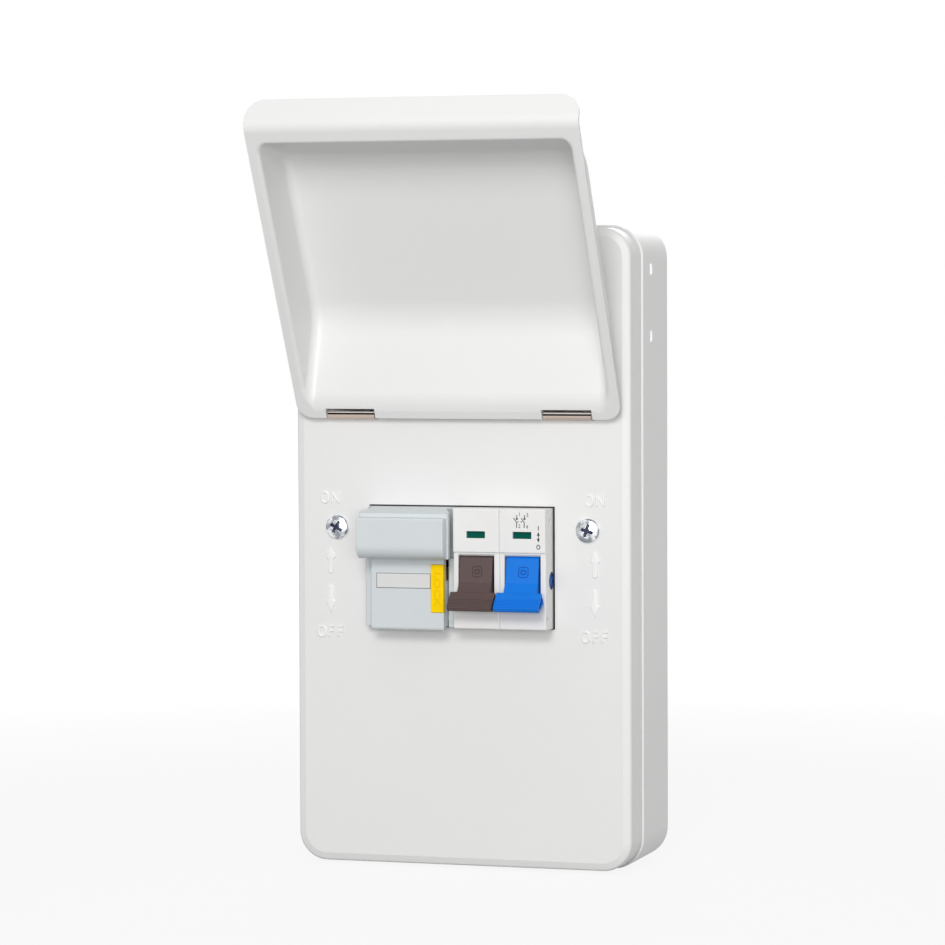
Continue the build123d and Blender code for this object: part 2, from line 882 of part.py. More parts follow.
def label_strip():
    strip = block(
        fuse_x(label_left), fuse_x(label_right), -plate_out - label_thick, -plate_out, label_low, label_high
    )
    return Pos(0, 0, rail_z) * strip


# main switch


def module_x(number):
    return switch_left + number * module_width


def switch_module(number):
    x0 = module_x(number)
    x1 = x0 + module_width
    middle = (x0 + x1) / 2
    nose_half = nose_height / 2
    face = side_profile(
        (
            (shoulder, -module_top),
            (shoulder, -nose_half),
            (-nose_out + nose_step, -nose_half),
            (-nose_out + nose_step, panel_low),
            (-nose_out, panel_low),
            (-nose_out, nose_half),
            (shoulder, nose_half),
            (shoulder, module_top),
            (device_rear, module_top),
            (device_rear, -module_top),
        )
    )
    module = across(face, x0, x1)
    nose = module.edges().filter_by_position(Axis.Y, -nose_out - near, -nose_out + nose_step + near)
    level = nose.filter_by(Axis.X).sort_by(Axis.Z)
    module = fillet(nose.filter_by(Axis.Z) + level[:1] + level[-1:], nose_round)
    module -= handle_room(middle) + flag_room(middle)
    module -= rod_x(-handle_pivot_out, handle_pivot_z, hub_r + hub_gap, x0 - past, x1 + past)
    for end in (-1, 1):
        low = cage_low(end)
        module -= cage_room(middle, switch_cage_front, low, switch_cage, end * (module_top + past))
        module -= screw_room(middle, switch_cage_front, low, switch_cage, switch_screw_r)
    for y, z in dent_spots:
        module -= rod_x(y, z, dent_r, x0 - past, x0 + dent_depth)
        module -= rod_x(y, z, dent_r, x1 - dent_depth, x1 + past)
    module -= rail_seat(x0, x1) + clip_slot(middle, -module_top)
    return Pos(0, 0, rail_z) * module


def cage_low(end):
    return switch_cage_end - switch_cage[2] if end > 0 else -switch_cage_end


def handle_room(middle):
    half = recess_width / 2
    room = rod_x(-handle_pivot_out, handle_pivot_z, drum_r + drum_gap, middle - half, middle + half)
    face = side_profile(
        (
            (-2 * nose_out, panel_low + panel_chamfer),
            (-nose_out - panel_chamfer, panel_low + panel_chamfer),
            (-nose_out, panel_low),
            (-nose_out + panel_chamfer, panel_low - panel_chamfer),
            (-handle_pivot_out, panel_low - panel_chamfer),
            (-handle_pivot_out, recess_low),
            (-2 * nose_out, recess_low),
        )
    )
    return room + across(face, middle - half, middle + half)


def flag_room(middle):
    half = window_width / 2
    front = -nose_out + window_wall
    window = block(middle - half, middle + half, -nose_out - past, front + past, window_low, window_high)
    wide = flag_width / 2 + flag_gap
    low = flag_low() - flag_travel - flag_gap
    high = flag_low() + flag_height + flag_gap
    return window + block(middle - wide, middle + wide, front, front + flag_thick + 2 * flag_gap, low, high)


def flag_low():
    return (window_low + window_high) / 2 - flag_height / 4


def flag(number):
    middle = module_x(number) + module_width / 2
    front = -nose_out + window_wall + flag_gap
    half = flag_width / 2
    low = rail_z + flag_low()
    return block(middle - half, middle + half, front, front + flag_thick, low, low + flag_height)


def lever_neck():
    # leaves the drum between its two flat sides, seen from the side
    turn = radians(drum_flat_turn)
    start = (drum_flat_out - neck_half * sin(turn)) / cos(turn)
    return side_profile(
        (
            (0, neck_half),
            (-start, neck_half),
            (-tip_start, neck_end_up),
            (-tip_start, -tip_under),
            (-start, -neck_half),
            (0, -neck_half),
        )
    )


def lever_tip():
    # wedge for the thumb, thickest at its back
    face = side_profile(
        (
            (-tip_start + tip_heel, -tip_heel_low),
            (-tip_start, tip_start_up),
            (-tip_reach, tip_reach_up),
            (-tip_reach + tip_toe, -tip_toe_low),
            (-tip_start, -tip_under),
        )
    )
    face = fillet(face.vertices().sort_by(Axis.X)[:2], tip_round)
    half = tip_width / 2
    length = tip_reach - tip_start + tip_heel
    plan = Pos(0, length / 2 - tip_reach) * RectangleRounded(tip_width, length, tip_corner)
    tip = across(face, -half, half) & extrude(plan, tip_reach, both=True)
    pocket = offset(face, -tip_wall)
    for side in (-1, 1):
        tip -= across(pocket, side * (half - tip_pocket), side * (half + past))
    return tip


def handle(number):
    # drawn level about its pivot, then turned down to OFF
    half = drum_width / 2
    drum = rod_x(0, 0, drum_r, -half, half)
    flat = block(-half, half, -2 * drum_r, -drum_flat_out, -drum_r, drum_r)
    for turn in (-drum_flat_turn, drum_flat_turn):
        drum -= Rot(X=turn) * flat
    hub = rod_x(0, 0, hub_r, -module_width / 2 + hub_end_gap, module_width / 2 - hub_end_gap)
    level = drum + hub + across(lever_neck(), -half, half) + lever_tip()
    place = Pos(module_x(number) + module_width / 2, -handle_pivot_out, rail_z + handle_pivot_z)
    return place * Rot(X=handle_off) * level


def main():
    pieces = {
        "back_box": back_box(),
        "front_cover": front_cover(),
        "lid": lid(),
        "din_rail": din_rail(),
        "earth_bar": earth_bar(),
        "fuse_base": fuse_base(),
        "fuse_jaw_upper": fuse_jaw(1),
        "fuse_jaw_lower": fuse_jaw(-1),
        "fuse_carrier": fuse_carrier(),
        "fuse_tube": fuse_tube(),
        "fuse_cap_upper": fuse_cap(1),
        "fuse_cap_lower": fuse_cap(-1),
        "lock_tab": lock_tab(),
        "label_strip": label_strip(),
        "fuse_clip": rail_clip(fuse_middle, fuse_bottom),
    }
    for number in range(earth_ways):
        pieces[f"earth_screw_{number + 1}"] = earth_screw(number)
    for word, side in (("left", -1), ("right", 1)):
        pieces[f"cover_pillar_{word}"] = cover_pillar(side)
        pieces[f"cover_screw_{word}"] = cover_screw(side)
        pieces[f"hinge_leaf_{word}"] = hinge_leaf(side)
        pieces[f"hinge_pin_{word}"] = hinge_pin(side)
        pieces[f"rail_rivet_{word}"] = rail_rivet(side)
    for word, low in (("upper", fuse_cage_high), ("lower", fuse_cage_low)):
        place = (fuse_middle, fuse_cage_front, low, fuse_cage, fuse_screw_r)
        pieces[f"fuse_terminal_{word}"] = terminal_cage(*place)
        pieces[f"fuse_terminal_screw_{word}"] = terminal_screw(*place)
    for number, word in enumerate(("left", "right")):
        middle = module_x(number) + module_width / 2
        pieces[f"switch_module_{word}"] = switch_module(number)
        pieces[f"switch_clip_{word}"] = rail_clip(middle, -module_top)
        pieces[f"switch_flag_{word}"] = flag(number)
        pieces[f"switch_handle_{word}"] = handle(number)
        for level, end in (("upper", 1), ("lower", -1)):
            place = (middle, switch_cage_front, cage_low(end), switch_cage, switch_screw_r)
            pieces[f"switch_terminal_{word}_{level}"] = terminal_cage(*place)
            pieces[f"switch_terminal_screw_{word}_{level}"] = terminal_screw(*place)
    os.makedirs("parts", exist_ok=True)
    to_wall = Pos(0, -case_depth, 0)
    for name, piece in pieces.items():
        export_step(to_wall * piece, f"parts/{name}.step")
    print(len(pieces), "pieces")


main()
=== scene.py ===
import json
import math

import bmesh
import bpy
from mathutils import Matrix, Vector


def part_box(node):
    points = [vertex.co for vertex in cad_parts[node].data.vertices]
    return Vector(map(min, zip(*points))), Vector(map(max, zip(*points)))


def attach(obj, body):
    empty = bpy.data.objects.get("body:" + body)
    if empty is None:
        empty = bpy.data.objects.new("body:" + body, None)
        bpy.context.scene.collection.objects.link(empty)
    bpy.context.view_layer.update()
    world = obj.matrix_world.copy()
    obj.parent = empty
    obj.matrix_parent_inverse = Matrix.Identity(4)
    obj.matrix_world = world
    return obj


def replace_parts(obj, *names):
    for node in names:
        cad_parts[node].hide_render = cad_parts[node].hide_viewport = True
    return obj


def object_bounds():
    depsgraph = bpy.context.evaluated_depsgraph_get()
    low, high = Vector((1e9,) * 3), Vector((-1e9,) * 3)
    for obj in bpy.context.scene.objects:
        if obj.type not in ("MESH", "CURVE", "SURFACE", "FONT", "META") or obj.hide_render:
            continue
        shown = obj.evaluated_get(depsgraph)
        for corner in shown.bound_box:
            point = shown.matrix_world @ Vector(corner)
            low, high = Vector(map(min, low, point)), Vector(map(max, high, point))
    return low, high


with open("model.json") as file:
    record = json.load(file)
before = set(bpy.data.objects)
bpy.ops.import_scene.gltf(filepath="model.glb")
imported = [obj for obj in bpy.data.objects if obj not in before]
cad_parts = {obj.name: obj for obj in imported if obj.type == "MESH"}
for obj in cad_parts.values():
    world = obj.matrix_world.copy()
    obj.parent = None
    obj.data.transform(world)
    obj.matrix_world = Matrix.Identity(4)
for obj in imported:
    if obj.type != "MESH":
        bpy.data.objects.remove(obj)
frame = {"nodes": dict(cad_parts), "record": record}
cadBox = [list(corner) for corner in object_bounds()]
nodes = frame["nodes"]
mm = 0.001  # sizes of pieces are written in mm, turns in degrees
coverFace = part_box("front_cover")[0].y  # the flat front that the marks stand on
print("frame loaded:", len(nodes), "pieces")


# a socket that can be used in sums
class Wire:
    def __init__(self, sheet, socket):
        self.sheet = sheet
        self.socket = socket

    def sum(self, kind, other, turned=False):
        pair = (other, self) if turned else (self, other)
        return self.sheet.add("ShaderNodeMath", {"operation": kind}, {0: pair[0], 1: pair[1]})

    def __add__(self, other):
        return self.sum("ADD", other)

    def __radd__(self, other):
        return self.sum("ADD", other, True)

    def __sub__(self, other):
        return self.sum("SUBTRACT", other)

    def __rsub__(self, other):
        return self.sum("SUBTRACT", other, True)

    def __mul__(self, other):
        return self.sum("MULTIPLY", other)

    def __rmul__(self, other):
        return self.sum("MULTIPLY", other, True)

    def __lt__(self, other):
        return self.sum("LESS_THAN", other)

    def __abs__(self):
        return self.sheet.add("ShaderNodeMath", {"operation": "ABSOLUTE"}, {0: self})


# a node tree, for a finish or for grown geometry
class Sheet:
    def __init__(self, tree):
        self.tree = tree

    def add(self, kind, settings=None, sockets=None, out=0):
        node = self.tree.nodes.new(kind)
        for key, value in (settings or {}).items():
            setattr(node, key, value)
        for key, value in (sockets or {}).items():
            self.plug(value, node.inputs[key])
        return Wire(self, node.outputs[out])

    def plug(self, value, socket):
        if isinstance(value, Wire):
            self.tree.links.new(value.socket, socket)
        else:
            socket.default_value = value


# a material whose patterns are laid out on the part's own coordinates
class Finish(Sheet):
    def __init__(self, name, shader):
        self.material = bpy.data.materials.new(name)
        self.material.use_nodes = True
        super().__init__(self.material.node_tree)
        self.shader = self.tree.nodes["Principled BSDF"]
        for key, value in shader.items():
            self.set(key, value)
        self.place = self.add("ShaderNodeTexCoord", None, None, "Object")

    def set(self, key, value):
        self.plug(value, self.shader.inputs[key])

    def noise(self, scale, detail=2.0, stretch=(1, 1, 1)):
        spot = self.place
        if stretch != (1, 1, 1):
            spot = self.add("ShaderNodeMapping", None, {"Vector": self.place, "Scale": stretch})
        return self.add("ShaderNodeTexNoise", None, {"Vector": spot, "Scale": scale, "Detail": detail})

    # distance to the nearest of many scattered points
    def specks(self, scale):
        return self.add("ShaderNodeTexVoronoi", None, {"Vector": self.place, "Scale": scale})

    def blend(self, factor, first, second):
        return self.add("ShaderNodeMix", {"data_type": "RGBA"}, {0: factor, 6: first, 7: second}, 2)

    # the place along one axis of the part
    def along(self, axis):
        return self.add("ShaderNodeSeparateXYZ", None, {0: self.place}, axis)

    def ramp(self, value, low, high):
        return self.add("ShaderNodeMapRange", None, {0: value, 1: low, 2: high, 3: 0.0, 4: 1.0})

    # bump over rounded corners, both into the shader's normal
    def relief(self, height, strength, depth, corner=0.0):
        sockets = {"Height": height, "Strength": strength, "Distance": depth * mm}
        if corner:
            sockets["Normal"] = self.add("ShaderNodeBevel", {"samples": 6}, {"Radius": corner * mm})
        self.set("Normal", self.add("ShaderNodeBump", None, sockets))


def linear(red, green, blue):
    def one(value):
        value /= 255
        return value / 12.92 if value <= 0.04045 else ((value + 0.055) / 1.055) ** 2.4
    return (one(red), one(green), one(blue), 1.0)


# semi-gloss powder coat with its fine orange peel and a few nibs
coat = {"colour": (232, 232, 231), "shade": (228, 228, 227), "paintedHighlightLift": 8, "rough": 0.36, "cloud": 14.0,
        "peel": 620.0, "grain": 2600.0, "nibs": 95.0, "nibSize": 0.035, "nibRise": 0.8,
        "bump": 0.1, "depth": 0.25, "corner": 0.2}


def powderCoat(name, paintedHighlightLift=0):
    finish = Finish(name, {"IOR": 1.5})
    # a lift above nought is a painted highlight: the same coat made paler all over
    colour, shade = ([value + paintedHighlightLift for value in coat[key]] for key in ("colour", "shade"))
    cloud = finish.noise(coat["cloud"], 3.0)
    finish.set("Base Color", finish.blend(cloud, linear(*shade), linear(*colour)))
    peel = finish.noise(coat["peel"], 2.0)
    grain = finish.noise(coat["grain"], 1.0)
    nibs = (finish.specks(coat["nibs"]) < coat["nibSize"]) * coat["nibRise"]
    finish.set("Roughness", coat["rough"] - 0.05 + 0.1 * cloud + 0.03 * grain)
    finish.relief(peel + 0.35 * grain + nibs, coat["bump"], coat["depth"], coat["corner"])
    return finish.material


# painted shade: a dark line on the devices where they pass the cover's edge, fading out in front of the cover's
# face and a little behind it
gapShade = {"colour": (22, 22, 24), "ahead": 3.4, "behind": 2.5, "fade": 1.0, "weight": 0.92}


def paintedGapShade(finish, tone):
    inward = finish.along("Y") - coverFace
    near = finish.ramp(inward, -gapShade["ahead"] * mm, 0.0)
    deep = finish.ramp(inward, gapShade["behind"] * mm, (gapShade["behind"] + gapShade["fade"]) * mm)
    return finish.blend(near * near * (1 - deep) * gapShade["weight"], tone, linear(*gapShade["colour"]))


# moulded plastic: spark-eroded grain, slight mottling and flow streaks
plastic = {"mottle": 60.0, "flow": 90.0, "stretch": (3, 1, 1), "bump": 0.16, "depth": 0.12}


def moulded(name, colour, shade, rough, gloss=0.4, grain=2400.0, corner=0.3, gapShaded=False):
    finish = Finish(name, {"IOR": 1.49, "Specular IOR Level": gloss})
    mottle = finish.noise(plastic["mottle"], 3.0)
    flow = finish.noise(plastic["flow"], 2.0, plastic["stretch"])
    tone = finish.blend(0.6 * mottle + 0.4 * flow, linear(*shade), linear(*colour))
    # painted shade at the cover's edge, where it is asked for
    finish.set("Base Color", paintedGapShade(finish, tone) if gapShaded else tone)
    fine = finish.noise(grain, 2.0)
    finish.set("Roughness", rough - 0.06 + 0.08 * mottle + 0.06 * fine)
    finish.relief(fine + 0.4 * flow, plastic["bump"], plastic["depth"], corner)
    return finish.material


# metal: plating clouds and fine scratches, which run as the stretch says
plating = {"cloud": 180.0, "scratch": 160.0, "bump": 0.12, "depth": 0.08, "corner": 0.2}


def metal(name, colour, shade, rough, stretch):
    finish = Finish(name, {"Metallic": 1.0})
    cloud = finish.noise(plating["cloud"], 3.0)
    lines = finish.noise(plating["scratch"], 3.0, stretch)
    finish.set("Base Color", finish.blend(cloud, linear(*shade), linear(*colour)))
    finish.set("Roughness", rough - 0.05 + 0.14 * lines + 0.06 * cloud)
    finish.relief(lines + 0.3 * cloud, plating["bump"], plating["depth"], plating["corner"])
    return finish.material


# fired ceramic of the fuse tube: speckled, with a thin glaze
ceramic = {"colour": (236, 232, 222), "shade": (222, 216, 204), "speck": (176, 166, 150), "specks": 900.0,
           "speckSize": 0.12, "cloud": 70.0, "grain": 1500.0, "bump": 0.12, "depth": 0.1}


def firedCeramic():
    finish = Finish("firedCeramic", {"Coat Roughness": 0.12, "IOR": 1.5})
    speck = (finish.specks(ceramic["specks"]) < ceramic["speckSize"]) * 0.5
    cloud = finish.noise(ceramic["cloud"], 3.0)
    tone = finish.blend(cloud, linear(*ceramic["shade"]), linear(*ceramic["colour"]))
    finish.set("Base Color", finish.blend(speck, tone, linear(*ceramic["speck"])))
    finish.set("Roughness", 0.42 + 0.12 * cloud)
    finish.set("Coat Weight", 0.25 + 0.2 * cloud)
    finish.relief(cloud + finish.noise(ceramic["grain"]), ceramic["bump"], ceramic["depth"])
    return finish.material


# hinge barrels: painted reflection, with a painted highlight on the upper half, a warmer reflected tone on the
# lower half and a painted dark band just above the middle
barrel = {"middle": 50.33, "darkBandOffset": 0.22, "half": 0.42, "soft": 0.12, "dark": (34, 30, 30),
          "paintedHighlight": (238, 233, 229), "under": (196, 180, 170), "rough": 0.16, "stretch": (1, 30, 30)}


def rolledNickel():
    finish = Finish("rolledNickel", {"Metallic": 1.0})
    above = finish.along("Z") - (barrel["middle"] + barrel["darkBandOffset"]) * mm
    clear = finish.ramp(abs(above), (barrel["half"] - barrel["soft"]) * mm, barrel["half"] * mm)
    upper = finish.ramp(above, 0.0, barrel["half"] * mm)
    tone = finish.blend(upper, linear(*barrel["under"]), linear(*barrel["paintedHighlight"]))
    lines = finish.noise(plating["scratch"], 3.0, barrel["stretch"])
    finish.set("Base Color", finish.blend(clear, linear(*barrel["dark"]), tone))
    finish.set("Roughness", barrel["rough"] + 0.14 * lines)
    finish.relief(lines, plating["bump"], plating["depth"], plating["corner"])
    return finish.material


greyPlastic = ((212, 218, 220), (206, 212, 214), 0.42)
finishes = {
    "powder_coat": powderCoat("powderCoat"),
    "zinc": metal("brightZinc", (206, 210, 216), (184, 189, 198), 0.26, (8, 8, 8)),
    "nickel": metal("nickelPlate", (196, 188, 180), (164, 155, 147), 0.16, (1, 30, 30)),
    "brass": metal("drawnBrass", (222, 188, 118), (198, 160, 92), 0.3, (1, 1, 24)),
    "copper": metal("rolledCopper", (214, 150, 118), (188, 120, 92), 0.3, (1, 1, 24)),
    "ceramic": firedCeramic(),
    "fuse_grey": moulded("greyHousing", *greyPlastic),
    # the white housings get the painted shade at the cover's edge
    "switch_white": moulded("whiteHousing", (235, 234, 233), (230, 229, 228), 0.38, gapShaded=True),
    "handle_brown": moulded("brownLever", (93, 76, 75), (85, 69, 68), 0.44, 0.25),
    "handle_blue": moulded("blueLever", (10, 122, 222), (4, 112, 214), 0.4, 0.2),
    "flag_green": moulded("greenFlag", (0, 88, 76), (0, 76, 66), 0.5, 0.06),
    "lock_yellow": moulded("yellowTab", (255, 217, 0), (255, 210, 0), 0.46, 0.1),
    "label_white": moulded("labelCard", (222, 222, 221), (215, 215, 214), 0.55, 0.4, 3200.0, 0.08),
    "clip_black": moulded("blackClip", (38, 38, 40), (28, 28, 30), 0.5),
}


def dress(mesh, finish):
    mesh.materials.clear()
    mesh.materials.append(finish)


for part in frame["record"]["subparts"]:
    dress(nodes[part["node"]].data, finishes[part["material_slot"]])
# the fuse base also gets the painted shade at the cover's edge
dress(nodes["fuse_base"].data, moulded("greyBase", *greyPlastic, gapShaded=True))
# the hinge barrels get the painted reflection
reflectionNickel = rolledNickel()
for side in ("left", "right"):
    dress(nodes["hinge_leaf_" + side].data, reflectionNickel)
print("finishes made:", len(finishes))


def newObject(name, data):
    thing = bpy.data.objects.new(name, data)
    bpy.context.scene.collection.objects.link(thing)
    return thing


def discard(thing):
    data = thing.data
    bpy.data.objects.remove(thing)
    store = bpy.data.meshes if isinstance(data, bpy.types.Mesh) else bpy.data.curves
    store.remove(data)


# a finished mesh becomes a piece that rides on a body
def setPiece(name, mesh, body, slotName, finish=None):
    piece = newObject(name, mesh)
    mesh.name = name
    dress(mesh, finish or finishes[slotName])
    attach(piece, body)
    return piece


# the evaluated shape of a scratch object, which is then thrown away
def plainMesh(name, source):
    bpy.context.view_layer.update()
    ready = source.evaluated_get(bpy.context.evaluated_depsgraph_get())
    mesh = bpy.data.meshes.new_from_object(ready)
    mesh.name = name
    discard(source)
    return mesh


def meshFrom(name, bm):
    mesh = bpy.data.meshes.new(name)
    bm.to_mesh(mesh)
    bm.free()
    return mesh


# shaded smooth, but for edges that turn by more than the angle
def smoothed(mesh, angle):
    mesh.shade_smooth()
    mesh.set_sharp_from_angle(angle=math.radians(angle))
    return mesh


crispTurn = 38  # edges of joined pieces that turn by more stay sharp


def joined(name, meshes):
    bm = bmesh.new()
    for mesh in meshes:
        bm.from_mesh(mesh)
        bpy.data.meshes.remove(mesh)
    bmesh.ops.remove_doubles(bm, verts=bm.verts, dist=1e-7)
    bmesh.ops.recalc_face_normals(bm, faces=bm.faces)
    return smoothed(meshFrom(name, bm), crispTurn)


# turns a flat drawing (x right, y up) to face the front at a point
def facing(x, out, z, turn=0.0, lean=0.0):
    upright = Matrix.Rotation(math.radians(90 + lean), 4, "X")
    spin = Matrix.Rotation(math.radians(turn), 4, "Z")
    return Matrix.Translation((x * mm, coverFace - out * mm, z * mm)) @ upright @ spin


capitalShare = 0.69  # a capital's height in the size of the font


# a word as thin raised letters
def wordMesh(text, height, rise, soft=0.0, stretch=1.0):
    curve = bpy.data.curves.new("word", "FONT")
    curve.body = text
    curve.align_x = "CENTER"
    curve.align_y = "CENTER"
    curve.size = height * mm / capitalShare
    curve.extrude = rise * mm
    curve.bevel_depth = soft * mm
    curve.bevel_resolution = 2
    curve.resolution_u = 6
    mesh = plainMesh("word", newObject("word", curve))
    mesh.transform(Matrix.Diagonal((stretch, 1, 1, 1)))
    return mesh


# a filled outline with soft edges
def outlineMesh(points, rise, soft):
    curve = bpy.data.curves.new("outline", "CURVE")
    curve.dimensions = "2D"
    curve.fill_mode = "BOTH"
    curve.extrude = rise * mm
    curve.bevel_depth = soft * mm
    curve.bevel_resolution = 2
    drawSpline(curve, flatPoints(points), True)
    return plainMesh("outline", newObject("outline", curve))


# a round line along a path, pressed flat to a rise
def lineMesh(points, thick, rise, closed=False):
    curve = bpy.data.curves.new("line", "CURVE")
    curve.dimensions = "3D"
    curve.bevel_depth = thick * mm / 2
    curve.bevel_resolution = 2
    curve.use_fill_caps = True
    drawSpline(curve, flatPoints(points), closed)
    mesh = plainMesh("line", newObject("line", curve))
    mesh.transform(Matrix.Diagonal((1, 1, rise / (thick / 2), 1)))
    return mesh


def flatPoints(points):
    return [(x * mm, y * mm, 0) for x, y in points]


def drawSpline(curve, points, closed=False):
    spline = curve.splines.new("POLY")
    spline.points.add(len(points) - 1)
    for knot, point in zip(spline.points, points):
        knot.co = (*point, 1)
    spline.use_cyclic_u = closed


def roundedSquare(width, height, corner, steps=5):
    points = []
    for cx, cy, start in ((1, 1, 0), (-1, 1, 90), (-1, -1, 180), (1, -1, 270)):
        for step in range(steps + 1):
            turn = math.radians(start + 90 * step / steps)
            x = cx * (width / 2 - corner) + corner * math.cos(turn)
            y = cy * (height / 2 - corner) + corner * math.sin(turn)
            points.append((x, y))
    return points


# marks pressed up out of the cover
marks = {"x": 52.1, "on": 18.6, "up": -5.2, "down": -19.7, "off": -32.4, "tall": 5.0, "stroke": 1.05,
         "rise": 0.5, "gap": 0.6, "widths": {"O": 3.5, "N": 3.7, "F": 3.05}, "barHeight": 0.08, "barReach": 0.9,
         "arrowLength": 9.7, "headLength": 4.0, "headWidth": 3.3, "barbIn": 0.25, "barbUp": 0.35,
         "shaftWidth": 1.65, "endSteps": 6, "arrowRise": 0.14, "arrowSoft": 0.3}


# the strokes of one letter round its own middle: (points, closed)
def letterStrokes(letter):
    x = (marks["widths"][letter] - marks["stroke"]) / 2
    y = (marks["tall"] - marks["stroke"]) / 2
    if letter == "O":
        return [(roundedSquare(2 * x, 2 * y, x), True)]
    if letter == "N":
        return [([(-x, -y), (-x, y)], False), ([(-x, y), (x, -y)], False), ([(x, -y), (x, y)], False)]
    bar = marks["barHeight"] * y
    return [([(-x, -y), (-x, y), (x, y)], False), ([(-x, bar), (marks["barReach"] * x, bar)], False)]


def wordStrokes(text, x, z):
    meshes = []
    total = sum(marks["widths"][letter] + marks["gap"] for letter in text) - marks["gap"]
    left = x - total / 2
    for letter in text:
        wide = marks["widths"][letter]
        for points, closed in letterStrokes(letter):
            mesh = lineMesh(points, marks["stroke"], marks["rise"], closed)
            mesh.transform(facing(left + wide / 2, 0, z))
            meshes.append(mesh)
        left += wide + marks["gap"]
    return meshes


def arrowMesh(turn):
    half = marks["arrowLength"] / 2
    neck = half - marks["headLength"]
    head = marks["headWidth"] / 2
    shaft = marks["shaftWidth"] / 2
    barbIn, barbUp = marks["barbIn"], marks["barbUp"]
    end = []
    for step in range(marks["endSteps"] + 1):
        angle = math.pi * step / marks["endSteps"]
        end.append((-shaft * math.cos(angle), -half + shaft - shaft * math.sin(angle)))
    points = [(0, half), (-head, neck + barbUp), (-head + barbIn, neck), (-shaft, neck)] + end
    points += [(shaft, neck), (head - barbIn, neck), (head, neck + barbUp)]
    mesh = outlineMesh(points, marks["arrowRise"], marks["arrowSoft"])
    mesh.transform(Matrix.Rotation(math.radians(turn), 4, "Z"))
    return mesh


def coverMarks():
    meshes = []
    for x in (-marks["x"], marks["x"]):
        meshes += wordStrokes("ON", x, marks["on"]) + wordStrokes("OFF", x, marks["off"])
        for z, turn in ((marks["up"], 0), (marks["down"], 180)):
            arrow = arrowMesh(turn)
            arrow.transform(facing(x, 0, z))
            meshes.append(arrow)
    raised = powderCoat("raisedCoat", coat["paintedHighlightLift"])  # painted highlight: a paler copy of the coat, so the marks look more lit than the flat around them
    return setPiece("coverMarks", joined("coverMarks", meshes), "enclosure", "powder_coat", raised)


coverMarks()
print("cover marks raised")


# half-sheared spots on the box's sides: a small half disc standing in each dimple, in near-white metal as a
# painted highlight
spots = {"y": -25.4, "z": (79.4, 104.6), "radius": 2.1, "thick": 0.4, "sunk": 0.02, "steps": 12}


def sideSpots():
    meshes = []
    half = []
    for step in range(spots["steps"] + 1):
        turn = math.radians(-90 + 180 * step / spots["steps"])
        half.append((spots["radius"] * math.cos(turn), spots["radius"] * math.sin(turn)))
    middle = cadBox[1][0] - spots["sunk"] * mm - spots["thick"] * mm / 2
    for side in (-1, 1):
        for z in spots["z"]:
            mesh = outlineMesh(half, spots["thick"] / 2, 0)
            rows = ((0, 0, side, side * middle), (1, 0, 0, spots["y"] * mm), (0, 1, 0, z * mm), (0, 0, 0, 1))
            mesh.transform(Matrix(rows))
            meshes.append(mesh)
    # painted highlight: near-white metal, so the dimples show bright spots
    highlightMetal = metal("bareSpot", (244, 245, 246), (234, 236, 238), 0.34, (8, 8, 8))
    return setPiece("sideSpots", joined("sideSpots", meshes), "enclosure", "zinc", highlightMetal)


sideSpots()
print("side spots set")


# geometry trees: named inputs, kept by identifier
class Growth(Sheet):
    def __init__(self, name, inputs):
        super().__init__(bpy.data.node_groups.new(name, "GeometryNodeTree"))
        face = self.tree.interface
        self.keys = {}
        for label, kind in inputs.items():
            socket = face.new_socket(label, in_out="INPUT", socket_type="NodeSocket" + kind)
            self.keys[label] = socket.identifier
        face.new_socket("Geometry", in_out="OUTPUT", socket_type="NodeSocketGeometry")
        self.start = self.tree.nodes.new("NodeGroupInput")
        self.end = self.tree.nodes.new("NodeGroupOutput")

    def given(self, label):
        return Wire(self, self.start.outputs[label])

    # realize and paint the shape, so that it leaves the tree as plain faces
    def close(self, shape):
        real = self.add("GeometryNodeRealizeInstances", None, {0: shape})
        sockets = {"Geometry": real, "Material": self.given("Finish")}
        self.plug(self.add("GeometryNodeSetMaterial", None, sockets), self.end.inputs[0])

    def grow(self, name, values):
        source = newObject(name, bpy.data.meshes.new(name))
        modifier = source.modifiers.new(name, "NODES")
        modifier.node_group = self.tree
        for label, value in values.items():
            modifier[self.keys[label]] = value
        return plainMesh(name, source)


# pan-head screws of the cover, each turned a little differently
screw = {"x": 49.3, "z": 7.4, "turns": (30.0, 18.0), "headRadius": 4.45, "edge": 0.12, "rim": 0.7,
         "faceRadius": 3.75, "shoulder": 1.5, "shoulderSteps": 5, "height": 2.4,
         "crownShares": (0.85, 0.7, 0.55, 0.4, 0.25, 0.1, 0.0), "shank": 2.0, "length": 12.0, "steps": 56,
         "wing": 1.3, "reach": 3.35, "recess": 1.25, "taper": 0.55, "narrow": 0.6, "clear": 0.4,
         "tickWing": 0.4, "tickReach": 2.9, "tickDepth": 0.55, "crispTurn": 40}
# screw tones: a painted glint between plate and plateShade, and painted shade in the recess
screwLook = {"plate": (236, 239, 241), "plateShade": (148, 153, 160), "hollow": (128, 134, 146),
             "hollowShade": (58, 60, 82), "cloud": 420.0, "paintedGlint": (0.4, 0.62), "darkFrom": 0.15, "darkTo": 0.7,
             "rough": 0.14, "bump": 0.1, "depth": 0.1, "corner": 0.15}


# profile from the shank's end to the middle of the head: (radius, depth)
def screwProfile():
    radius = screw["headRadius"]
    profile = [(0.0, screw["length"]), (screw["shank"], screw["length"]), (screw["shank"], 0.0),
               (radius - screw["edge"], 0.0), (radius, -screw["edge"]), (radius, -screw["rim"])]
    for step in range(1, screw["shoulderSteps"] + 1):
        turn = math.radians(90 * step / screw["shoulderSteps"])
        inward = (radius - screw["faceRadius"]) * (1 - math.cos(turn))
        profile.append((radius - inward, -screw["rim"] - (screw["shoulder"] - screw["rim"]) * math.sin(turn)))
    crown = screw["height"] - screw["shoulder"]
    for share in screw["crownShares"]:
        profile.append((screw["faceRadius"] * share, -screw["shoulder"] - crown * (1 - share ** 2)))
    return profile


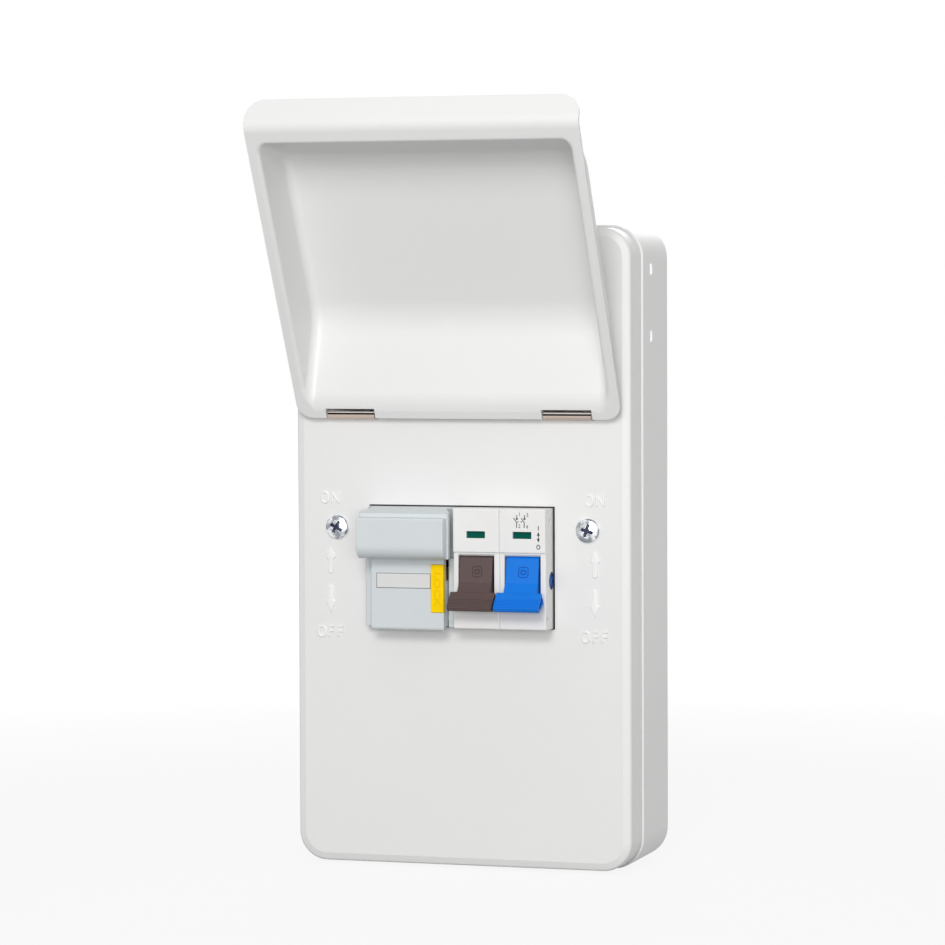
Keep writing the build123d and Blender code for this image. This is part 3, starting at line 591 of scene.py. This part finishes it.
def screwShape():
    bm = bmesh.new()
    rings = []
    for radius, depth in screwProfile():
        count = screw["steps"] if radius else 1
        ring = []
        for step in range(count):
            turn = 2 * math.pi * step / count
            spot = (radius * math.cos(turn) * mm, depth * mm, radius * math.sin(turn) * mm)
            ring.append(bm.verts.new(spot))
        rings.append(ring)
    for first, second in zip(rings, rings[1:]):
        for step in range(screw["steps"]):
            corners = []
            for ring, turn in ((first, step), (first, step + 1), (second, step + 1), (second, step)):
                corner = ring[turn % len(ring)]
                if corner not in corners:
                    corners.append(corner)
            bm.faces.new(corners)
    bmesh.ops.recalc_face_normals(bm, faces=bm.faces)
    return meshFrom("screwShape", bm)


# the driver's cross: two tapered wings and the small ticks between them
def recessShape():
    bm = bmesh.new()
    top = -(screw["height"] + screw["clear"])
    floor = -(screw["height"] - screw["recess"])
    wings = [(turn, screw["reach"], screw["wing"], 1.0) for turn in (0, 90)]
    ticks = [(turn, screw["tickReach"], screw["tickWing"], screw["tickDepth"]) for turn in (45, 135)]
    for turn, reach, wing, deep in wings + ticks:
        spin = Matrix.Rotation(math.radians(turn), 3, "Y")
        corners = []
        for depth, share in ((top, 1.0), (top + (floor - top) * deep, screw["taper"])):
            half = wing * 0.5 * (screw["narrow"] + (1 - screw["narrow"]) * share)
            for sx, sz in ((-1, -1), (1, -1), (1, 1), (-1, 1)):
                spot = (sx * reach * share, depth, sz * half)
                corners.append(bm.verts.new(spin @ Vector(spot) * mm))
        for face in ((0, 1, 2, 3), (7, 6, 5, 4), (0, 4, 5, 1), (1, 5, 6, 2), (2, 6, 7, 3), (3, 7, 4, 0)):
            bm.faces.new([corners[k] for k in face])
    bmesh.ops.recalc_face_normals(bm, faces=bm.faces)
    return meshFrom("recessShape", bm)


def driverScrew():
    body = newObject("screwBody", screwShape())
    cutter = newObject("screwCut", recessShape())
    cut = body.modifiers.new("recess", "BOOLEAN")
    cut.object = cutter
    cut.solver = "EXACT"
    cut.use_self = True
    mesh = plainMesh("driverScrew", body)
    discard(cutter)
    return smoothed(mesh, screw["crispTurn"])


# polished zinc with a painted glint, noise blending dark and bright tones, and painted shade inside the driver's
# cross
def screwZinc():
    finish = Finish("screwZinc", {"Metallic": 1.0})
    across = abs(finish.along("X")) - screw["x"] * mm
    upward = finish.along("Z") - screw["z"] * mm
    square = across * across + upward * upward
    crown = (screw["height"] - screw["shoulder"]) * mm
    top = coverFace - screw["height"] * mm + square * (crown / (screw["faceRadius"] * mm) ** 2)
    # painted shade: the recess of the cross darkens with depth
    sunk = finish.ramp(finish.along("Y") - top, screwLook["darkFrom"] * mm, screwLook["darkTo"] * mm)
    sunk = sunk * (square < (screw["reach"] * mm) ** 2)
    cloud = finish.noise(screwLook["cloud"], 2.0)
    paintedGlint = finish.ramp(cloud, *screwLook["paintedGlint"])
    plate = finish.blend(paintedGlint, linear(*screwLook["plateShade"]), linear(*screwLook["plate"]))
    hollow = finish.blend(paintedGlint, linear(*screwLook["hollowShade"]), linear(*screwLook["hollow"]))
    finish.set("Base Color", finish.blend(sunk, plate, hollow))
    finish.set("Roughness", screwLook["rough"] + 0.1 * cloud)
    finish.relief(cloud, screwLook["bump"], screwLook["depth"], screwLook["corner"])
    return finish.material


# one screw set at each end of a line
def screwTree():
    tree = Growth("coverScrews", {"Screw": "Object", "First": "Vector", "Apart": "Vector",
                                  "Turn": "Float", "More": "Float", "Finish": "Material"})
    sockets = {"Count": 2, "Start Location": tree.given("First"), "Offset": tree.given("Apart")}
    line = tree.add("GeometryNodeMeshLine", {"mode": "OFFSET"}, sockets)
    shape = tree.add("GeometryNodeObjectInfo", None, {"Object": tree.given("Screw")}, "Geometry")
    order = tree.add("GeometryNodeInputIndex")
    spin = tree.given("Turn") + order * tree.given("More")
    turn = tree.add("ShaderNodeCombineXYZ", None, {"Y": spin})
    angle = tree.add("FunctionNodeEulerToRotation", None, {0: turn})
    sockets = {"Points": line, "Instance": shape, "Rotation": angle}
    tree.close(tree.add("GeometryNodeInstanceOnPoints", None, sockets))
    return tree


def coverScrews():
    source = newObject("screwSource", driverScrew())
    finish = screwZinc()
    first, second = (math.radians(turn) for turn in screw["turns"])
    values = {"Screw": source, "First": (-screw["x"] * mm, coverFace, screw["z"] * mm),
              "Apart": (2 * screw["x"] * mm, 0, 0), "Turn": first, "More": second - first, "Finish": finish}
    mesh = screwTree().grow("coverScrews", values)
    discard(source)
    piece = setPiece("coverScrews", mesh, "enclosure", "zinc", finish)
    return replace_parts(piece, "cover_screw_left", "cover_screw_right")


coverScrews()
print("cover screws set")


# what stands on the switch levers: grip ribs on the thumb wedge and the sign on the drum's flat
lever = {"middles": {"left": 9.0, "right": 27.0}, "pivotOut": 2.5, "pivotHeight": -11.4, "rest": 30.0,
         "faceTop": (12.7, 2.9), "faceEnd": (20.4, 0.8), "toe": (19.0, -1.6), "round": 0.9, "roundSteps": 6,
         "ribStart": 0.42, "ribEnd": 0.62, "ribCount": 9, "ribLength": 16.8, "ribRadius": 0.3, "ribSides": 12,
         "ribSunk": 0.03, "flatOut": 8.95, "flatTurn": 41.0, "signUp": 1.95, "signAside": 0.5,
         "frame": (3.6, 3.85, 0.95), "frameLine": (0.36, 0.12), "ring": (1.8, 1.45, 0.6), "ringLine": (0.6, 0.2)}


# ribs set square across the lever along a path
def ribTree():
    tree = Growth("gripRibs", {"Path": "Object", "Ribs": "Int", "Length": "Float", "Radius": "Float",
                               "Finish": "Material"})
    path = tree.add("GeometryNodeObjectInfo", None, {"Object": tree.given("Path")}, "Geometry")
    sockets = {"Curve": path, "Count": tree.given("Ribs")}
    places = tree.add("GeometryNodeCurveToPoints", {"mode": "COUNT"}, sockets)
    half = tree.given("Length") * 0.5
    ends = [tree.add("ShaderNodeCombineXYZ", None, {"X": half * sign}) for sign in (-1.0, 1.0)]
    spine = tree.add("GeometryNodeCurvePrimitiveLine", None, {"Start": ends[0], "End": ends[1]})
    sockets = {"Resolution": lever["ribSides"], "Radius": tree.given("Radius")}
    ring = tree.add("GeometryNodeCurvePrimitiveCircle", None, sockets)
    sockets = {"Curve": spine, "Profile Curve": ring, "Fill Caps": True}
    rib = tree.add("GeometryNodeCurveToMesh", None, sockets)
    tree.close(tree.add("GeometryNodeInstanceOnPoints", None, {"Points": places, "Instance": rib}))
    return tree


# a point beside the lever's own axis, at rest
def leverSpot(side, along, up):
    turn = math.radians(lever["rest"])
    out = lever["pivotOut"] + along * math.cos(turn) + up * math.sin(turn)
    z = lever["pivotHeight"] - along * math.sin(turn) + up * math.cos(turn)
    return (lever["middles"][side] * mm, coverFace - out * mm, z * mm)


# down the thumb face, round its end and on towards the toe
def ribPath():
    top, end, toe = (Vector(lever[key]) for key in ("faceTop", "faceEnd", "toe"))
    face = (end - top).normalized()
    under = (toe - end).normalized()
    inner = (math.pi - face.angle(under)) / 2
    centre = end + (under - face).normalized() * lever["round"] / math.sin(inner)
    first = math.atan2(face.x, -face.y)
    last = math.atan2(under.x, -under.y)
    radius = lever["round"] - lever["ribSunk"]
    inset = Vector((math.cos(first), math.sin(first))) * -lever["ribSunk"]
    points = [top + (end - top) * lever["ribStart"] + inset]
    for step in range(lever["roundSteps"] + 1):
        turn = first + (last - first) * step / lever["roundSteps"]
        points.append(centre + radius * Vector((math.cos(turn), math.sin(turn))))
    inset = Vector((math.cos(last), math.sin(last))) * -lever["ribSunk"]
    points.append(end + (toe - end) * lever["ribEnd"] + inset)
    return points


def leverRibs(side, slotName):
    curve = bpy.data.curves.new("ribPath", "CURVE")
    curve.dimensions = "3D"
    drawSpline(curve, [leverSpot(side, spot.x, spot.y) for spot in ribPath()])
    path = newObject("ribPath", curve)
    values = {"Path": path, "Ribs": lever["ribCount"], "Length": lever["ribLength"] * mm,
              "Radius": lever["ribRadius"] * mm, "Finish": finishes[slotName]}
    mesh = ribTree().grow("leverRibs", values)
    discard(path)
    return setPiece("leverRibs_" + side, joined("leverRibs", [mesh]), "handle_" + side, slotName)


def drumSign(side, slotName, finish):
    meshes = [lineMesh(roundedSquare(*lever[key]), *lever[key + "Line"], True) for key in ("frame", "ring")]
    tilt = lever["flatTurn"] - lever["rest"]
    turn = math.radians(tilt)
    out = lever["pivotOut"] + lever["flatOut"] * math.cos(turn) - lever["signUp"] * math.sin(turn)
    z = lever["pivotHeight"] + lever["flatOut"] * math.sin(turn) + lever["signUp"] * math.cos(turn)
    for mesh in meshes:
        mesh.transform(facing(lever["middles"][side] + lever["signAside"], out, z, 0, -tilt))
    return setPiece("drumSign_" + side, joined("drumSign", meshes), "handle_" + side, slotName, finish)


# dark end of the drum's hub, seen through the module's side, with the cross of its coupling
hub = {"end": 35.8, "radius": 3.1, "steps": 10, "thick": 0.05, "bar": 0.75, "barReach": 0.8, "barRise": 0.12,
       "turn": 35.0}


def placedHub(mesh):
    mesh.transform(Matrix.Rotation(math.radians(90), 4, "Y"))
    place = (hub["end"] * mm, coverFace - lever["pivotOut"] * mm, lever["pivotHeight"] * mm)
    mesh.transform(Matrix.Translation(place))
    return mesh


def hubEnd():
    wide = 2 * hub["radius"]
    disc = outlineMesh(roundedSquare(wide, wide, hub["radius"], hub["steps"]), hub["thick"], 0)
    navy = moulded("navyHub", (8, 44, 104), (6, 36, 92), 0.45, 0.2)
    return setPiece("hubEnd", placedHub(joined("hubEnd", [disc])), "handle_right", "handle_blue", navy)


def hubCross():
    reach = hub["radius"] * hub["barReach"]
    bars = []
    for turn in (0, 90):
        bar = lineMesh([(-reach, 0), (reach, 0)], hub["bar"], hub["barRise"])
        bar.transform(Matrix.Rotation(math.radians(hub["turn"] + turn), 4, "Z"))
        bars.append(bar)
    return setPiece("hubCross", placedHub(joined("hubCross", bars)), "handle_right", "handle_blue")


hubEnd()
hubCross()
# the signs are a darker tone than their levers: painted shade, so that the raised lines read as grooves
brownSign = moulded("brownSign", (78, 62, 62), (72, 57, 57), 0.46, 0.25)
blueSign = moulded("blueSign", (4, 92, 190), (2, 84, 180), 0.42, 0.2)
for side, slotName, finish in (("left", "handle_brown", brownSign), ("right", "handle_blue", blueSign)):
    leverRibs(side, slotName)
    drumSign(side, slotName, finish)
print("lever ribs and signs made")


# ink of the printed signs, a little uneven
ink = {"colour": (36, 35, 37), "paler": (52, 51, 53), "rough": 0.5, "cloud": 900.0, "bump": 0.08, "depth": 0.04}


def printInk():
    finish = Finish("darkInk", {})
    cloud = finish.noise(ink["cloud"], 2.0)
    finish.set("Base Color", finish.blend(cloud, linear(*ink["colour"]), linear(*ink["paler"])))
    finish.set("Roughness", ink["rough"] - 0.05 + 0.1 * cloud)
    finish.relief(cloud, ink["bump"], ink["depth"])
    return finish.material


darkInk = printInk()

# signs printed on the right-hand module's panel: two contacts, their numbers and the way the lever moves
printed = {"out": 11.0, "rise": 0.02, "line": 0.34, "contacts": (24.95, 27.9), "foot": 8.7, "knee": 10.75,
           "arm": (-1.2, 12.35), "dot": 12.1, "dotSize": 0.42, "lead": 13.5, "leadAside": 0.1,
           "links": ((25.2, 25.85), (26.5, 27.15)), "linkHeight": 10.95, "digit": 1.35,
           "digits": {"1": (26.1, 13.7), "3": (29.1, 13.5), "2": (26.0, 9.3), "4": (28.95, 9.1)},
           "moveX": 33.35, "upLetter": 8.7, "arrowTop": 7.35, "arrowLow": 3.3, "downLetter": 1.65,
           "headWidth": 1.2, "headLength": 1.45, "shaftInset": 0.5, "letter": 1.65, "ring": (1.15, 1.5, 0.57)}


def inkLine(points, closed=False):
    return lineMesh(points, printed["line"], printed["rise"], closed)


def contactSign(x):
    foot, knee = (x, printed["foot"]), (x, printed["knee"])
    arm = (x + printed["arm"][0], printed["arm"][1])
    aside = x + printed["leadAside"]
    size = printed["dotSize"]
    dot = [(aside + px, printed["dot"] + py) for px, py in roundedSquare(2 * size, 2 * size, size)]
    return [inkLine([foot, knee]), inkLine([knee, arm]),
            inkLine([(aside, printed["dot"]), (aside, printed["lead"])]), outlineMesh(dot, printed["rise"], 0)]


# arrow with a head at both ends
def moveArrow():
    x, top, low = printed["moveX"], printed["arrowTop"], printed["arrowLow"]
    half = printed["headWidth"] / 2
    meshes = [inkLine([(x, low + printed["shaftInset"]), (x, top - printed["shaftInset"])])]
    for tip, back in ((top, top - printed["headLength"]), (low, low + printed["headLength"])):
        meshes.append(outlineMesh([(x, tip), (x - half, back), (x + half, back)], printed["rise"], 0))
    return meshes


def panelSigns():
    flat = []
    for x in printed["contacts"]:
        flat += contactSign(x)
    for left, right in printed["links"]:
        flat.append(inkLine([(left, printed["linkHeight"]), (right, printed["linkHeight"])]))
    flat += moveArrow()
    column, low, high = printed["moveX"], printed["downLetter"], printed["upLetter"]
    flat.append(inkLine([(column + x, low + y) for x, y in roundedSquare(*printed["ring"])], True))
    half = printed["letter"] / 2
    flat.append(inkLine([(column, high - half), (column, high + half)]))
    for digit, (x, z) in printed["digits"].items():
        word = wordMesh(digit, printed["digit"], printed["rise"])
        word.transform(Matrix.Translation((x * mm, z * mm, 0)))
        flat.append(word)
    for mesh in flat:
        mesh.transform(facing(0, printed["out"], 0))
    return setPiece("panelSigns", joined("panelSigns", flat), "enclosure", "switch_white", darkInk)


panelSigns()
print("panel signs printed")


# printed and moulded signs on the fuse carrier, heights from the rail's middle
carrier = {"middle": -18.3, "rail": -6.87, "label": (-12.2, 9.2, -7.8, -2.1), "labelOut": 9.9, "line": 0.26,
           "lineRise": 0.03, "tabMiddle": 11.8, "tabOut": 10.0, "tabHeight": -7.75, "wordTall": 2.3,
           "wordStretch": 1.45, "wordRise": 0.03, "wordSoft": 0.08}


def labelLine():
    left, right, low, high = carrier["label"]
    half = carrier["line"] / 2
    sides, ends = (left + half, right - half), (low + half, high - half)
    points = [(sides[0], ends[0]), (sides[1], ends[0]), (sides[1], ends[1]), (sides[0], ends[1])]
    mesh = lineMesh(points, carrier["line"], carrier["lineRise"], True)
    mesh.transform(facing(carrier["middle"], carrier["labelOut"], carrier["rail"]))
    return setPiece("labelLine", joined("labelLine", [mesh]), "fuse_carrier", "label_white", darkInk)


def tabWord():
    word = wordMesh("LOCK", carrier["wordTall"], carrier["wordRise"], carrier["wordSoft"], carrier["wordStretch"])
    x = carrier["middle"] + carrier["tabMiddle"]
    word.transform(facing(x, carrier["tabOut"], carrier["rail"] + carrier["tabHeight"], -90))
    # a deeper yellow than the tab: painted shade for the edges of the moulded word
    amberShade = moulded("amberWord", (254, 204, 0), (252, 197, 0), 0.46, 0.1)
    return setPiece("tabWord", joined("tabWord", [word]), "lock_tab", "lock_yellow", amberShade)


labelLine()
tabWord()
print("carrier signs made")


# light, floor and camera, in metres
studio = {"ambient": 0.45, "bounce": 0.28, "shine": 1.12, "nearShine": 0.8, "fade": (0.25, 1.1),
          "floorRadius": 3.0, "floorSides": 96, "floorDrop": 0.0003}
lamps = {"keyLight": {"from": (0.2, -1.55, 0.74), "size": (0.7, 0.5), "power": 10.4},
         "frontLight": {"from": (0.45, -1.6, 0.13), "size": (1.2, 0.48), "power": 8.8},
         "sideLight": {"from": (1.55, 0.35, 0.3), "size": (1.0, 0.8), "power": 3.4},
         "backLight": {"from": (-0.4, 1.6, 0.5), "size": (1.2, 1.2), "power": 9.0}}
view = {"place": (0.4426, -1.4490, 0.0968), "yaw": 17.42, "pitch": 2.668, "roll": -0.218,
        "lens": 148.73, "sensor": 36.0, "near": 0.05, "far": 50.0}


def softBox(name):
    data = bpy.data.lights.new(name, "AREA")
    data.shape = "ELLIPSE"
    data.size, data.size_y = lamps[name]["size"]
    data.energy = lamps[name]["power"]
    lamp = newObject(name, data)
    place = Vector(lamps[name]["from"])
    lamp.location = place
    lamp.rotation_mode = "QUATERNION"
    lamp.rotation_quaternion = (-place).to_track_quat("-Z", "Y")


# one where a ray is of one of the kinds, else zero
def seenRays(sheet, kinds):
    path = sheet.tree.nodes.new("ShaderNodeLightPath")
    seen = Wire(sheet, path.outputs[kinds[0]])
    for kind in kinds[1:]:
        seen = seen + Wire(sheet, path.outputs[kind])
    return sheet.add("ShaderNodeClamp", None, {0: seen})


def whiteRoom():
    world = bpy.data.worlds.new("whiteRoom")
    bpy.context.scene.world = world
    world.use_nodes = True
    sheet = Sheet(world.node_tree)
    sheet.tree.nodes.clear()
    seen = seenRays(sheet, ("Is Camera Ray", "Is Glossy Ray", "Is Transmission Ray"))
    strength = studio["ambient"] + seen * (1.0 - studio["ambient"])
    glow = sheet.add("ShaderNodeBackground", None, {"Color": (1, 1, 1, 1), "Strength": strength})
    end = sheet.tree.nodes.new("ShaderNodeOutputWorld")
    sheet.plug(glow, end.inputs["Surface"])


# pale floor that fades into the white room and keeps a light shadow
def paleFloor():
    bm = bmesh.new()
    bmesh.ops.create_circle(bm, cap_ends=True, radius=studio["floorRadius"], segments=studio["floorSides"])
    mesh = meshFrom("paleFloor", bm)
    floor = newObject("paleFloor", mesh)
    mesh.transform(Matrix.Translation((0, 0, cadBox[0][2] - studio["floorDrop"])))
    material = bpy.data.materials.new("paleFloor")
    material.use_nodes = True
    sheet = Sheet(material.node_tree)
    sheet.tree.nodes.clear()
    spot = sheet.add("ShaderNodeTexCoord", None, None, "Object")
    far = sheet.add("ShaderNodeVectorMath", {"operation": "LENGTH"}, {0: spot}, "Value")
    sockets = {0: far, 1: studio["fade"][0], 2: studio["fade"][1], 3: studio["nearShine"], 4: 1.0}
    fade = sheet.add("ShaderNodeMapRange", {"interpolation_type": "SMOOTHSTEP"}, sockets)
    seen = seenRays(sheet, ("Is Camera Ray", "Is Glossy Ray"))
    paint = sheet.add("ShaderNodeBsdfDiffuse", None, {"Color": (studio["bounce"],) * 3 + (1,)})
    white = sheet.add("ShaderNodeEmission", None, {"Color": (1, 1, 1, 1), "Strength": studio["shine"]})
    both = sheet.add("ShaderNodeMixShader", None, {0: fade * seen, 1: paint, 2: white})
    end = sheet.tree.nodes.new("ShaderNodeOutputMaterial")
    sheet.plug(both, end.inputs["Surface"])
    mesh.materials.append(material)


def photoCamera():
    yaw, pitch, roll = (math.radians(view[key]) for key in ("yaw", "pitch", "roll"))
    level = math.cos(pitch)
    ahead = Vector((-math.sin(yaw) * level, math.cos(yaw) * level, -math.sin(pitch)))
    right = Vector((math.cos(yaw), math.sin(yaw), 0))
    up = right.cross(ahead)
    across = math.cos(roll) * right + math.sin(roll) * up
    upward = -math.sin(roll) * right + math.cos(roll) * up
    data = bpy.data.cameras.new("photoView")
    data.sensor_width = view["sensor"]
    data.lens = view["lens"]
    data.clip_start = view["near"]
    data.clip_end = view["far"]
    camera = newObject("photoView", data)
    turned = Matrix((across, upward, -ahead)).transposed().to_4x4()
    camera.matrix_world = Matrix.Translation(Vector(view["place"])) @ turned
    bpy.context.scene.camera = camera


whiteRoom()
paleFloor()
for name in lamps:
    softBox(name)
photoCamera()
bpy.context.scene.view_settings.view_transform = "Standard"
print("light and camera set")
